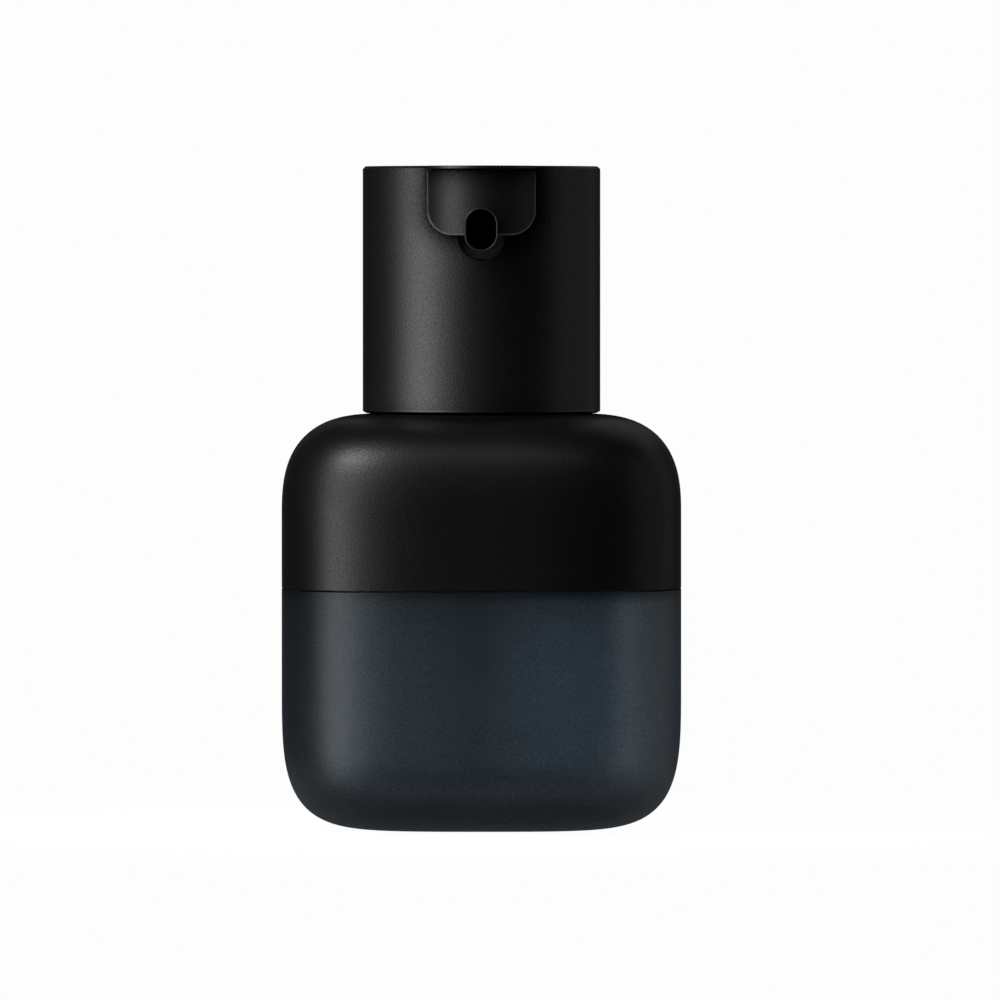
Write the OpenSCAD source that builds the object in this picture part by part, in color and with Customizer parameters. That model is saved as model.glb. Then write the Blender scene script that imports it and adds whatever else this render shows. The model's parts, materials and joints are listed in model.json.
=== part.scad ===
// Foundation bottle: frosted glass with a black shoulder cover and a nozzle pump in a sleeve.
// Millimetres. The origin is the middle of the foot, +Z runs up and the nozzle faces -Y.

/* [Bottle] */
// Width and depth of the body
body_w = 44; // [40:1:56]
// Power of the rounded-square plan, where 2 is a circle
plan_power = 3.4; // [2.4:0.1:4]
// Height of the flat land under the pump sleeve
body_h = 45.65; // [43:0.05:60]
// Height of the rounded heel
heel_h = 16.85; // [10:0.05:19]
// Power of the heel curve
heel_power = 4; // [2:0.1:5]
// Width of the flat foot
foot_w = 14.6; // [9:0.2:20]
// Height of the rounded shoulder
shoulder_h = 11; // [8:0.2:13]
// Power of the shoulder curve
shoulder_power = 2.73; // [2:0.01:4]
// Flat rim of the shoulder around the hole for the neck
land_rim = 0.9; // [0.4:0.1:3]
// Height of the seam between glass and cover
seam_z = 26.45; // [20:0.05:32]
// Thickness of the glass at the middle of a side
glass_wall = 4.6; // [3.4:0.1:6]
// Thickness of the glass base
base_t = 4.6; // [4:0.1:12]
// Thickness of the glass above the cavity
roof_t = 5.65; // [2:0.05:8]
// Rounding of the cavity's floor and ceiling
cavity_corner = 3.5; // [2:0.5:8]
// Width of the shallow recess under the foot
punt_w = 7; // [4:0.2:8.4]
// Depth of the recess under the foot
punt_depth = 0.5; // [0.2:0.1:2]

/* [Shoulder cover] */
// Wall of the cover
cover_wall = 1.6; // [1:0.1:2.2]
// Room between cover and glass
cover_fit = 0.15; // [0.05:0.05:0.4]
// Hairline left open at the seam
seam_gap = 0.15; // [0.05:0.05:0.5]

/* [Neck] */
// Diameter of the neck at the thread root
neck_d = 17.5; // [17:0.1:18.4]
// Bore of the neck
neck_bore = 14; // [12.4:0.2:14.6]
// Height of the neck above the shoulder land
neck_h = 9.6; // [9:0.1:10]
// Rise of the thread in one turn
thread_pitch = 3.18; // [2.8:0.01:3.6]
// Height of the thread ridge
thread_depth = 1.1; // [0.7:0.05:1.2]
// Turns of thread
thread_turns = 1.25; // [1:0.05:1.4]
// Room between the threads of neck and collar
thread_fit = 0.25; // [0.15:0.05:0.4]
// Width of a thread ridge at its root
ridge_w = 1.9; // [1.4:0.1:2.1]
// Width of a thread ridge at its crest
crest_w = 0.9; // [0.6:0.1:1.2]
// Plain neck between the lip and the middle of the last thread
lip_plain = 1.9; // [1.6:0.1:2.4]

/* [Collar and sleeve] */
// Wall of the screw collar
collar_wall = 1.5; // [1.1:0.1:1.6]
// Top wall of the screw collar
collar_top_t = 1.2; // [0.8:0.1:1.6]
// Number of grip ribs on the collar
rib_count = 24; // [8:1:36]
// Width of a grip rib
rib_w = 0.8; // [0.4:0.1:1.2]
// Height of a grip rib
rib_h = 0.3; // [0.2:0.05:0.6]
// Room around the stem in the collar's top
stem_room = 0.7; // [0.4:0.05:1]
// Height of the sleeve
shroud_h = 27.2; // [26:0.05:32]
// Wall of the sleeve
shroud_wall = 1.2; // [0.9:0.1:1.3]
// Gap between sleeve and shoulder
shroud_gap = 0.1; // [0.1:0.05:0.6]
// Thickness of the shelf that seats the sleeve on the collar
shelf_t = 0.8; // [0.5:0.1:1.2]
// Inward reach of that shelf
shelf_w = 2.6; // [1.5:0.1:3.5]
// Bevel at the lower edge of the sleeve, width
skirt_bevel_w = 0.45; // [0.1:0.05:0.8]
// Bevel at the lower edge of the sleeve, height
skirt_bevel_h = 0.22; // [0.1:0.01:0.8]
// Bevel around the upper rim of the sleeve
rim_bevel = 0.3; // [0.1:0.05:0.5]

/* [Actuator] */
// Travel of the actuator
travel = 2.8; // [2:0.1:3]
// Room left under the actuator at full travel
stop_gap = 0.25; // [0.15:0.05:0.6]
// Room between actuator and sleeve
slide_gap = 0.3; // [0.2:0.05:0.5]
// Wall of the actuator's skirt
skirt_wall = 1.2; // [0.8:0.1:1.6]
// Thickness of the actuator's top
plate_t = 1.2; // [0.8:0.1:1.4]
// Thickness of the finger pad
pad_t = 1; // [0.8:0.1:1.4]
// Bevel around the finger pad
pad_bevel = 0.25; // [0.1:0.05:0.5]
// Wall of the socket around the stem
socket_wall = 1.6; // [1:0.1:2.4]
// Height of the shoulder that stops the stem in its socket
socket_shoulder = 0.85; // [0.4:0.05:1.2]
// Bore of the outlet channel
channel_d = 1.5; // [1:0.1:1.6]
// Room between the outlet channel and the top of the mouth
channel_inset = 0.15; // [0.05:0.05:0.4]
// Width of the key that carries the nose through the slot
key_w = 4.4; // [4:0.1:5]
// Wall of the key under the outlet channel
key_floor = 0.45; // [0.3:0.05:0.8]
// Room beside the key in the slot
slot_side = 0.38; // [0.2:0.01:0.6]
// Room under the key at full travel
slot_end = 0.7; // [0.2:0.02:1]

/* [Nozzle] */
// Width of the nose
nose_w = 11.9; // [10:0.1:12]
// Height of the nose
nose_h = 7.1; // [6.6:0.1:8.4]
// Rounding of the lower corners of the nose
nose_corner = 2.8; // [1:0.1:3.4]
// Radius of the curved front of the nose
nose_r = 6.4; // [6.2:0.1:9]
// Distance that the nose stands out of the sleeve
nose_proud = 3.2; // [3:0.1:4]
// Room between nose and sleeve
nose_gap = 0.3; // [0.2:0.05:0.5]
// Thickness of the tongue of the finger pad over the nose
tongue_t = 0.35; // [0.3:0.05:0.7]
// Shadow gap between that tongue and the nose
tongue_gap = 0.2; // [0.1:0.05:0.6]
// Depth that the key sinks into the nose
key_seat = 0.3; // [0.1:0.05:0.5]
// Length of the spigot that holds the nose on the key
spigot_l = 1.4; // [0.8:0.1:1.6]
// Width of the spigot
spigot_w = 3; // [2:0.1:3.6]
// Height of the spigot
spigot_h = 2.4; // [1.4:0.1:2.8]
// Wall between tip and spigot
spigot_wall = 0.6; // [0.3:0.05:0.8]
// Width of the mouth
mouth_w = 3.25; // [2.6:0.05:3.4]
// Height of the mouth
mouth_h = 4.4; // [3.8:0.1:4.8]
// Depth of the mouth's middle below the top
mouth_drop = 7; // [6.8:0.1:7.2]
// Wall of the tip around the mouth
tip_wall = 0.2; // [0.15:0.05:0.4]
// Back wall of the tip
tip_back = 0.7; // [0.4:0.1:1.2]
// Distance that the tip stands out of the nose
tip_proud = 0.5; // [0.2:0.1:0.9]

/* [Pump] */
// Thickness of the neck gasket
gasket_t = 0.7; // [0.5:0.1:1]
// Thickness of the housing's flange
flange_t = 1; // [0.8:0.1:1.2]
// Thickness of the guide's flange
guide_flange_t = 0.7; // [0.5:0.1:0.9]
// Length of the guide inside the barrel
guide_l = 3.9; // [3:0.1:4.5]
// Room between barrel and neck
neck_room = 1.6; // [0.8:0.1:2]
// Wall of the barrel
barrel_wall = 1.2; // [0.8:0.1:1.4]
// Diameter of the stem
stem_d = 3.8; // [3.6:0.1:4]
// Bore of the stem
stem_bore = 2; // [1.6:0.1:2.2]
// Width of the soft wiper around the stem
wiper_w = 1.3; // [0.8:0.1:1.6]
// Depth that the wiper sinks below the guide's flange
wiper_sink = 0.2; // [0.1:0.05:0.6]
// Width of the stop ring on the stem
stop_w = 0.8; // [0.5:0.1:1]
// Thickness of the stop ring
stop_t = 0.5; // [0.3:0.1:0.8]
// Slip of the piston on the stem
piston_slip = 0.5; // [0.3:0.05:0.8]
// Height of the piston
piston_h = 3.7; // [3:0.1:4.4]
// Height of the piston's sealing lips
lip_h = 0.8; // [0.5:0.1:1.2]
// Undercut between the sealing lips
lip_cut = 0.35; // [0.2:0.05:0.6]
// Thickness of the plug's flange
plug_t = 1.2; // [0.8:0.1:1.6]
// Width of the plug's flange around the stem
plug_w = 1; // [0.8:0.1:1.3]
// Length of the plug's flat rod in the stem
plug_rod_l = 2.4; // [1.8:0.1:4]
// Thickness of the plug's flat rod
plug_rod_t = 1; // [0.6:0.1:1.2]
// Bore of a port at the foot of the stem
port_d = 0.6; // [0.4:0.05:0.7]
// Length of the spring at rest
spring_l = 9; // [8:0.1:10]
// Wire of the spring
wire_d = 0.6; // [0.4:0.05:0.7]
// Turns of the spring
spring_turns = 7.5; // [6:0.5:9]
// Thickness of the ball cage
cage_t = 1; // [0.8:0.1:1.4]
// Bore of the ball cage
cage_bore = 1.8; // [1.4:0.1:2.2]
// Width of the slots that let the product past the ball
cage_slot = 0.8; // [0.5:0.1:1]
// Diameter of the check ball
ball_d = 3; // [2.6:0.1:3.2]
// Lift of the check ball
ball_lift = 0.8; // [0.5:0.05:1]
// Room around the check ball
ball_room = 0.35; // [0.2:0.05:0.5]
// Bore of the valve seat
seat_bore = 2; // [1.6:0.1:2.2]
// Thickness of the valve seat
seat_t = 1; // [0.6:0.1:1.4]
// Diameter of the dip tube
tube_d = 4; // [3.4:0.1:4.4]
// Wall of the dip tube
tube_wall = 0.6; // [0.4:0.05:0.8]
// Depth of the dip tube's socket
tube_socket = 4; // [3:0.1:5]
// Wall of the valve chamber and of the socket
tail_wall = 0.95; // [0.7:0.05:1.2]
// Gap between dip tube and cavity floor
tube_gap = 1.2; // [0.6:0.1:3]
// Slope of the dip tube's lower end, in degrees
tube_slope = 20; // [0:1:30]
// Radial room of parts that run on each other
running = 0.05; // [0.02:0.01:0.08]
// Room of parts that are pushed together
push_fit = 0.02; // [0.01:0.01:0.04]

/* [Hidden] */
$fn = 96;

// Steps of the lofted body and of the coils
plan_sides = 64;
arc_steps = 9;
coil_steps = 36;
wire_sides = 8;
// Overlap that joins solids and overshoot that clears a cut
bite = 0.3;
over = 1;

// Bottle
half_w = body_w / 2;
cover_in = half_w - cover_wall;
glass_top = body_h - cover_wall;
glass_in = cover_in - cover_fit;
inner_rise = shoulder_h - cover_wall;
cavity_half = half_w - glass_wall;
cavity_top = glass_top - roof_t;
neck_r = neck_d / 2;
lip_z = body_h + neck_h;
thread_r = neck_r + thread_depth;
thread_z = lip_z - lip_plain - thread_turns * thread_pitch;
cover_hole_r = thread_r + thread_fit;
land = cover_hole_r + land_rim;

// Stack on the lip of the neck
gasket_top = lip_z + gasket_t;
flange_top = gasket_top + flange_t;
guide_top = flange_top + guide_flange_t;
collar_top = guide_top + collar_top_t;
shelf_top = collar_top + shelf_t;
collar_bore_r = thread_r + thread_fit;
collar_r = collar_bore_r + collar_wall;
collar_z = body_h + shroud_gap;

// Sleeve and actuator
shroud_in = collar_r + rib_h;
shroud_r = shroud_in + shroud_wall;
shroud_z = body_h + shroud_gap;
top_z = shroud_z + shroud_h;
button_r = shroud_in - slide_gap;
skirt_z = shelf_top + travel + stop_gap;
plate_top = top_z - pad_t;
plate_z = plate_top - plate_t;
mouth_z = top_z - mouth_drop;
channel_z = mouth_z + mouth_h / 2 - channel_inset - channel_d / 2;
stem_top = channel_z - channel_d / 2 - socket_shoulder;
socket_z = collar_top + travel + stop_gap;
socket_r = stem_d / 2 + socket_wall;
key_z = channel_z - channel_d / 2 - key_floor;
slot_w = key_w + 2 * slot_side;
slot_z = key_z - travel - slot_end;

// Nozzle
nose_back = shroud_r + nose_gap;
nose_front = shroud_r + nose_proud;
nose_top = top_z - tongue_t - tongue_gap;
nose_z = nose_top - nose_h;
key_end = nose_back + key_seat;
tip_w = mouth_w + 2 * tip_wall;
tip_h = mouth_h + 2 * tip_wall;
tip_front = nose_front + tip_proud;
spigot_z = mouth_z + tip_h / 2 + spigot_wall;

// Pump
barrel_out = neck_bore / 2 - neck_room;
barrel_r = barrel_out - barrel_wall;
flange_r = neck_r - push_fit;
stem_r = stem_d / 2;
guide_z = flange_top - guide_l;
wiper_r = stem_r + wiper_w;
wiper_t = guide_flange_t + wiper_sink;
collar_hole_r = stem_r + stem_room;
stop_z = guide_z - stop_t;
piston_top = stop_z - piston_slip;
piston_z = piston_top - piston_h;
plug_z = piston_z - plug_t;
plug_r = stem_r + plug_w;
spring_z = plug_z - spring_l;
cage_z = spring_z - cage_t;
ball_r = ball_d / 2;
chamber_r = ball_r + ball_room;
ball_z = cage_z - ball_lift - ball_r;
seat_z = ball_z - sqrt(ball_r * ball_r - seat_bore * seat_bore / 4) - push_fit;
tube_top = seat_z - seat_t;
tail_z = tube_top - tube_socket;
tail_r = max(chamber_r, tube_d / 2) + tail_wall;
tube_z = base_t + tube_gap;

// Outline of a heel, from the foot up: half-widths and heights along a superellipse
function heel(foot, edge, rise, power) = [
    for (i = [0 : arc_steps])
        let (a = 90 * (1 - i / arc_steps))
        [foot + (edge - foot) * pow(cos(a), 2 / power), rise * (1 - pow(sin(a), 2 / power))]
];

// Outline of a shoulder, from the side up to the flat land
function shoulder(edge, flat, top, rise, power) = [
    for (i = [0 : arc_steps])
        let (a = 90 * i / arc_steps)
        [flat + (edge - flat) * pow(cos(a), 2 / power), top - rise * (1 - pow(sin(a), 2 / power))]
];

// One coordinate of the rounded-square plan
function plan(c) = sign(c) * pow(abs(c), 2 / plan_power);

// Closed solid through rounded squares, one for each [half-width, height] of the outline
module loft(outline) {
    n = plan_sides;
    last = len(outline) - 1;
    points = [
        for (p = outline, i = [0 : n - 1])
            [p[0] * plan(cos(360 * i / n)), p[0] * plan(sin(360 * i / n)), p[1]]
    ];
    walls = [
        for (k = [0 : last - 1], i = [0 : n - 1])
            let (j = (i + 1) % n)
            [k * n + i, (k + 1) * n + i, (k + 1) * n + j, k * n + j]
    ];
    foot = [for (i = [0 : n - 1]) i];
    roof = [for (i = [n - 1 : -1 : 0]) last * n + i];
    polyhedron(points, concat([foot], walls, [roof]));
}

// Solid of a section [radius, height] carried around the axis, raised by z_at(turn)
module coil(section, turns, z_at) {
    n = len(section);
    last = ceil(turns * coil_steps);
    points = [
        for (s = [0 : last], p = section)
            let (t = turns * s / last)
            [p[0] * cos(360 * t), p[0] * sin(360 * t), p[1] + z_at(t)]
    ];
    walls = [
        for (s = [0 : last - 1], i = [0 : n - 1])
            let (j = (i + 1) % n, a = s * n, b = a + n)
            each [[a + i, a + j, b + j], [a + i, b + j, b + i]]
    ];
    start = [for (i = [n - 1 : -1 : 0]) i];
    end = [for (i = [0 : n - 1]) last * n + i];
    polyhedron(points, concat([start], walls, [end]));
}

// Thread ridge between the radius it grows from and its crest
module thread(root, crest, z) {
    wide = [[root, -ridge_w / 2], [root, ridge_w / 2]];
    thin = [[crest, -crest_w / 2], [crest, crest_w / 2]];
    section = root < crest
        ? [wide[0], thin[0], thin[1], wide[1]]
        : [thin[0], wide[0], wide[1], thin[1]];
    translate([0, 0, z])
        coil(section, thread_turns, function (t) t * thread_pitch);
}

// Ring with straight walls
module ring(outer, inner, z, h) {
    translate([0, 0, z])
        difference() {
            cylinder(r = outer, h = h);
            translate([0, 0, -over])
                cylinder(r = inner, h = h + 2 * over);
        }
}

// Outline seen from the front, carried forward from depth y0 to depth y1
module forward(y0, y1) {
    translate([0, -y0, 0])
        rotate([90, 0, 0])
            linear_extrude(y1 - y0)
                children();
}

// Upright slot with a round lower end
module round_foot(w, z, top) {
    translate([0, z + w / 2])
        circle(d = w);
    translate([-w / 2, z + w / 2])
        square([w, top - z - w / 2]);
}

// Upright oval with round ends
module oval(w, h, z) {
    translate([0, z - (h - w) / 2])
        circle(d = w);
    translate([0, z + (h - w) / 2])
        circle(d = w);
    translate([-w / 2, z - (h - w) / 2])
        square([w, h - w]);
}

// Front outline of the nose, with two rounded lower corners
module nose_outline() {
    half = nose_w / 2;
    for (side = [-1, 1])
        translate([side * (half - nose_corner), nose_z + nose_corner])
            circle(r = nose_corner);
    translate([-half, nose_z + nose_corner])
        square([nose_w, nose_h - nose_corner]);
    translate([nose_corner - half, nose_z])
        square([nose_w - 2 * nose_corner, nose_corner + bite]);
}

// Column under the curved front of the nose, in front of the sleeve
module nose_column(z, h) {
    translate([0, 0, z])
        difference() {
            intersection() {
                translate([0, nose_r - nose_front, 0])
                    cylinder(r = nose_r, h = h);
                translate([-nose_w / 2, -nose_front - over, 0])
                    cube([nose_w, nose_front + over, h]);
            }
            translate([0, 0, -over])
                cylinder(r = nose_back, h = h + 2 * over);
        }
}

// Space for the product: a rounded-square chamber with rounded floor and ceiling
module cavity() {
    narrow = cavity_half - cavity_corner;
    translate([0, 0, base_t])
        loft(concat(
            heel(narrow, cavity_half, cavity_corner, 2),
            shoulder(cavity_half, narrow, cavity_top - base_t, cavity_corner, 2)
        ));
}

module glass_bottle() {
    color("#24323e")
        difference() {
            union() {
                loft(concat(
                    heel(foot_w / 2, half_w, heel_h, heel_power),
                    [[half_w, seam_z], [glass_in, seam_z]],
                    shoulder(glass_in, land - cover_fit, glass_top, inner_rise, shoulder_power)
                ));
                translate([0, 0, glass_top - over])
                    cylinder(r = neck_r, h = lip_z - glass_top + over);
                thread(neck_r - bite, thread_r, thread_z);
            }
            cavity();
            translate([0, 0, cavity_top - over])
                cylinder(d = neck_bore, h = lip_z - cavity_top + 2 * over);
            translate([0, 0, -over])
                cylinder(d = punt_w, h = punt_depth + over);
        }
}

module shoulder_cover() {
    color("#161618")
        difference() {
            loft(concat(
                [[half_w, seam_z + seam_gap]],
                shoulder(half_w, land, body_h, shoulder_h, shoulder_power)
            ));
            loft(concat(
                [[cover_in, seam_z - over]],
                shoulder(cover_in, land, glass_top, inner_rise, shoulder_power)
            ));
            translate([0, 0, glass_top - over])
                cylinder(r = cover_hole_r, h = cover_wall + 2 * over);
        }
}

module screw_collar() {
    color("#2a2a2c")
        union() {
            ring(collar_r, collar_bore_r, collar_z, guide_top - collar_z);
            ring(collar_r, collar_hole_r, guide_top, collar_top_t);
            thread(collar_bore_r + bite, neck_r + thread_fit, thread_z - thread_pitch / 2);
            intersection() {
                ring(shroud_in - push_fit, collar_r - bite, collar_z, collar_top - collar_z);
                for (i = [0 : rib_count - 1])
                    rotate(360 * i / rib_count)
                        translate([0, -rib_w / 2, collar_z])
                            cube([shroud_r, rib_w, collar_top - collar_z]);
            }
        }
}

module shroud() {
    color("#161618")
        difference() {
            rotate_extrude()
                polygon([
                    [shroud_in, shroud_z],
                    [shroud_r - skirt_bevel_w, shroud_z],
                    [shroud_r, shroud_z + skirt_bevel_h],
                    [shroud_r, top_z - rim_bevel],
                    [shroud_r - rim_bevel, top_z],
                    [shroud_in, top_z],
                    [shroud_in, shelf_top],
                    [shroud_in - shelf_w, shelf_top],
                    [shroud_in - shelf_w, collar_top],
                    [shroud_in, collar_top]
                ]);
            forward(0, shroud_r + over)
                round_foot(slot_w, slot_z, top_z + over);
        }
}

module neck_gasket() {
    color("#d8d8d2")
        ring(neck_r, neck_bore / 2, lip_z, gasket_t);
}

module pump_housing() {
    barrel_foot = cage_z - barrel_wall;
    color("#e4e4de")
        rotate_extrude()
            polygon([
                [flange_r, gasket_top],
                [flange_r, flange_top],
                [barrel_r, flange_top],
                [barrel_r, cage_z],
                [chamber_r, cage_z],
                [chamber_r, seat_z],
                [seat_bore / 2, seat_z],
                [seat_bore / 2, tube_top],
                [tube_d / 2 + push_fit, tube_top],
                [tube_d / 2 + push_fit, tail_z],
                [tail_r, tail_z],
                [tail_r, barrel_foot],
                [barrel_out, barrel_foot],
                [barrel_out, gasket_top]
            ]);
}

module stem_guide() {
    color("#dcdcd6")
        rotate_extrude()
            polygon([
                [stem_r + running, guide_z],
                [barrel_r - push_fit, guide_z],
                [barrel_r - push_fit, flange_top],
                [flange_r, flange_top],
                [flange_r, guide_top],
                [wiper_r, guide_top],
                [wiper_r, guide_top - wiper_t],
                [stem_r + running, guide_top - wiper_t]
            ]);
}

module stem_wiper() {
    color("#3c3c3e")
        ring(wiper_r - push_fit, stem_r + running, guide_top - wiper_t, wiper_t);
}

module ball_cage() {
    color("#e4e4de")
        difference() {
            ring(barrel_r - push_fit, cage_bore / 2, cage_z, cage_t);
            for (a = [0, 90])
                rotate(a)
                    translate([-chamber_r, -cage_slot / 2, cage_z - over])
                        cube([2 * chamber_r, cage_slot, cage_t + 2 * over]);
        }
}

module check_ball() {
    color("#c8ccd0")
        translate([0, 0, ball_z])
            sphere(d = ball_d);
}

// Return spring whose first and last turns lie closed
module pump_spring() {
    section = [
        for (i = [0 : wire_sides - 1])
            let (a = 360 * i / wire_sides)
            [plug_r - wire_d / 2 + wire_d / 2 * cos(a), wire_d / 2 * sin(a)]
    ];
    open_turns = spring_turns - 2;
    open_pitch = (spring_l - 3 * wire_d) / open_turns;
    rise = function (t)
        t < 1 ? t * wire_d
        : t < 1 + open_turns ? wire_d + (t - 1) * open_pitch
        : wire_d + open_turns * open_pitch + (t - 1 - open_turns) * wire_d;
    color("#b4b8bc")
        translate([0, 0, spring_z + wire_d / 2])
            coil(section, spring_turns, rise);
}

module dip_tube() {
    color("#e8e8e4")
        difference() {
            ring(tube_d / 2, tube_d / 2 - tube_wall, tube_z, tube_top - tube_z);
            translate([-tube_d / 2, 0, tube_z])
                rotate([0, -tube_slope, 0])
                    translate([-tube_d, -tube_d, -2 * tube_d])
                        cube([3 * tube_d, 2 * tube_d, 2 * tube_d]);
        }
}

module stem() {
    color("#e0e0da")
        difference() {
            union() {
                translate([0, 0, piston_z])
                    cylinder(r = stem_r, h = stem_top - piston_z);
                translate([0, 0, stop_z])
                    cylinder(r = stem_r + stop_w, h = stop_t);
            }
            translate([0, 0, piston_z - over])
                cylinder(d = stem_bore, h = stem_top - piston_z + 2 * over);
            translate([0, 0, piston_z + port_d / 2 + running])
                rotate([90, 0, 0])
                    cylinder(d = port_d, h = stem_d + 2 * over, center = true);
        }
}

module stem_plug() {
    rod_d = stem_bore - 2 * push_fit;
    color("#d0d0ca")
        union() {
            translate([0, 0, plug_z])
                cylinder(r = plug_r, h = plug_t);
            intersection() {
                translate([0, 0, plug_z])
                    cylinder(d = rod_d, h = plug_t + plug_rod_l);
                translate([-rod_d, -plug_rod_t / 2, plug_z])
                    cube([2 * rod_d, plug_rod_t, plug_t + plug_rod_l]);
            }
        }
}

module piston() {
    outer = barrel_r - running;
    color("#f0f0ec")
        rotate_extrude()
            polygon([
                [stem_r + running, piston_z],
                [outer, piston_z],
                [outer, piston_z + lip_h],
                [outer - lip_cut, piston_z + lip_h + lip_cut],
                [outer - lip_cut, piston_top - lip_h - lip_cut],
                [outer, piston_top - lip_h],
                [outer, piston_top],
                [stem_r + running, piston_top]
            ]);
}

module actuator() {
    color("#1c1c1e")
        difference() {
            union() {
                ring(button_r, button_r - skirt_wall, skirt_z, plate_z - skirt_z + bite);
                translate([0, 0, plate_z])
                    cylinder(r = button_r, h = plate_t);
                translate([0, 0, socket_z])
                    cylinder(r = socket_r, h = plate_z - socket_z + bite);
                forward(0, key_end)
                    round_foot(key_w, key_z, plate_top);
                forward(key_end - bite, key_end + spigot_l)
                    translate([-spigot_w / 2, spigot_z])
                        square([spigot_w, spigot_h]);
            }
            translate([0, 0, socket_z - over])
                cylinder(r = stem_r + push_fit, h = stem_top - socket_z + over);
            translate([0, 0, stem_top - over])
                cylinder(d = stem_bore, h = channel_z - stem_top + over);
            forward(0, key_end + over)
                translate([0, channel_z])
                    circle(d = channel_d);
        }
}

module finger_pad() {
    color("#18181a")
        union() {
            translate([0, 0, plate_top])
                rotate_extrude()
                    polygon([
                        [0, 0],
                        [button_r, 0],
                        [button_r, pad_t - pad_bevel],
                        [button_r - pad_bevel, pad_t],
                        [0, pad_t]
                    ]);
            translate([-key_w / 2, -key_end, plate_top])
                cube([key_w, key_end - button_r + over, pad_t]);
            nose_column(top_z - tongue_t, tongue_t);
        }
}

module nozzle_nose() {
    color("#18181a")
        difference() {
            intersection() {
                nose_column(nose_z, nose_h);
                forward(0, nose_front + over)
                    nose_outline();
            }
            forward(nose_back - over, key_end)
                round_foot(key_w + 2 * push_fit, key_z - push_fit, nose_top + over);
            forward(key_end - over, key_end + spigot_l + push_fit)
                translate([-spigot_w / 2 - push_fit, spigot_z - push_fit])
                    square([spigot_w + 2 * push_fit, spigot_h + 2 * push_fit]);
            forward(0, tip_front + over)
                oval(tip_w + 2 * push_fit, tip_h + 2 * push_fit, mouth_z);
        }
}

module nozzle_tip() {
    color("#0c0c0e")
        difference() {
            forward(key_end, tip_front)
                oval(tip_w, tip_h, mouth_z);
            forward(key_end + tip_back, tip_front + over)
                oval(mouth_w, mouth_h, mouth_z);
            forward(key_end - over, key_end + tip_back + over)
                translate([0, channel_z])
                    circle(d = channel_d);
        }
}

glass_bottle();
shoulder_cover();
screw_collar();
shroud();
neck_gasket();
pump_housing();
stem_guide();
stem_wiper();
ball_cage();
check_ball();
pump_spring();
dip_tube();
stem();
stem_plug();
piston();
actuator();
finger_pad();
nozzle_nose();
nozzle_tip();
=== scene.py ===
"""Looks of a foundation bottle: frosted glass, matte black shells and a pump, around its CAD frame."""

import json
import math

import bmesh
import bpy
import numpy as np
from bpy.props import FloatProperty, FloatVectorProperty, IntProperty, PointerProperty
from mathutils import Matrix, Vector


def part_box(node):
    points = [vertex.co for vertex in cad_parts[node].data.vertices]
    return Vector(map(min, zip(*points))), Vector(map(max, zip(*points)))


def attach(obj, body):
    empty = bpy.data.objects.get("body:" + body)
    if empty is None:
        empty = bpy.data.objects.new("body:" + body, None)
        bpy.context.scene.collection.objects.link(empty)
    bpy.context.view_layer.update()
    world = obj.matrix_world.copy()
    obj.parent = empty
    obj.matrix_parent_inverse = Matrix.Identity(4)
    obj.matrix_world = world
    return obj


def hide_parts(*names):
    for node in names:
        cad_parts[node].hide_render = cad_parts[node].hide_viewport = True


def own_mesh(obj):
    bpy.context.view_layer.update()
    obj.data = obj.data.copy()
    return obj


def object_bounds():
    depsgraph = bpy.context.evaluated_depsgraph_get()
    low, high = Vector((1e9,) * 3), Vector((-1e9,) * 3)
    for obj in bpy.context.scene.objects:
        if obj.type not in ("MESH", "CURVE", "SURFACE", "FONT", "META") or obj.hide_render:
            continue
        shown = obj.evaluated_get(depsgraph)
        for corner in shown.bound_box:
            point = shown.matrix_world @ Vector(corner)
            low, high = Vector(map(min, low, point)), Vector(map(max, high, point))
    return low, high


bl_info = {
    "name": "Foundation Bottle",
    "version": (1, 0, 0),
    "blender": (4, 5, 0),
    "location": "View3D > Sidebar > Bottle",
    "description": "Smooth surfaces, finishes and a studio for a foundation bottle with a pump",
    "category": "Object",
}

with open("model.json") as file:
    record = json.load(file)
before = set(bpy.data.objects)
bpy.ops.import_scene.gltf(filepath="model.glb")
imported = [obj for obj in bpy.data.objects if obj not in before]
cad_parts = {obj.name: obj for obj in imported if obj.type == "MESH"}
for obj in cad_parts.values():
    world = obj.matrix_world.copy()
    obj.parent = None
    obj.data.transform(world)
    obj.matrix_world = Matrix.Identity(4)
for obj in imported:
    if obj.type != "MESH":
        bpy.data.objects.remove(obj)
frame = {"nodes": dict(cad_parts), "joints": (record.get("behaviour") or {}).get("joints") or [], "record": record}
CAD_BOX = [list(corner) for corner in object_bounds()]
MM = 0.001

_, GLASS_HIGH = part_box("glass_bottle")
COVER_LOW, COVER_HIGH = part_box("shoulder_cover")
SLEEVE_LOW, SLEEVE_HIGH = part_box("shroud")
PAD_LOW, PAD_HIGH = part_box("finger_pad")
NOSE_LOW, NOSE_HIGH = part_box("nozzle_nose")
TIP_LOW, TIP_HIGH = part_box("nozzle_tip")
SPRING_LOW, SPRING_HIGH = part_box("pump_spring")
KEY_LOW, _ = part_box("actuator")
_, COLLAR_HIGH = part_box("screw_collar")

# Closer than this, in metres, two points of a run are one, and two corners of a mesh
SAME_POINT = 1e-9
MERGE_GAP = 1e-7
# Edges sharper than this angle are rounded, in this many segments
SHARP_EDGE = math.radians(35)
EDGE_SEGMENTS = 3
# Contrast of the dots of a stipple
DOT_LOW, DOT_HIGH = 0.35, 0.65
# Soft clouds a metre in the matte black and in the frosted glass
BLACK_CLOUDS, GLASS_CLOUDS = 70, 60
# Share of metal, which takes the sheen away, in the pits of the matte black and in its painted shade
PIT_DULL, CONTACT_SHADE_DULL, NOSE_SHADE_DULL = 0.16, 0.84, 0.87
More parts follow.
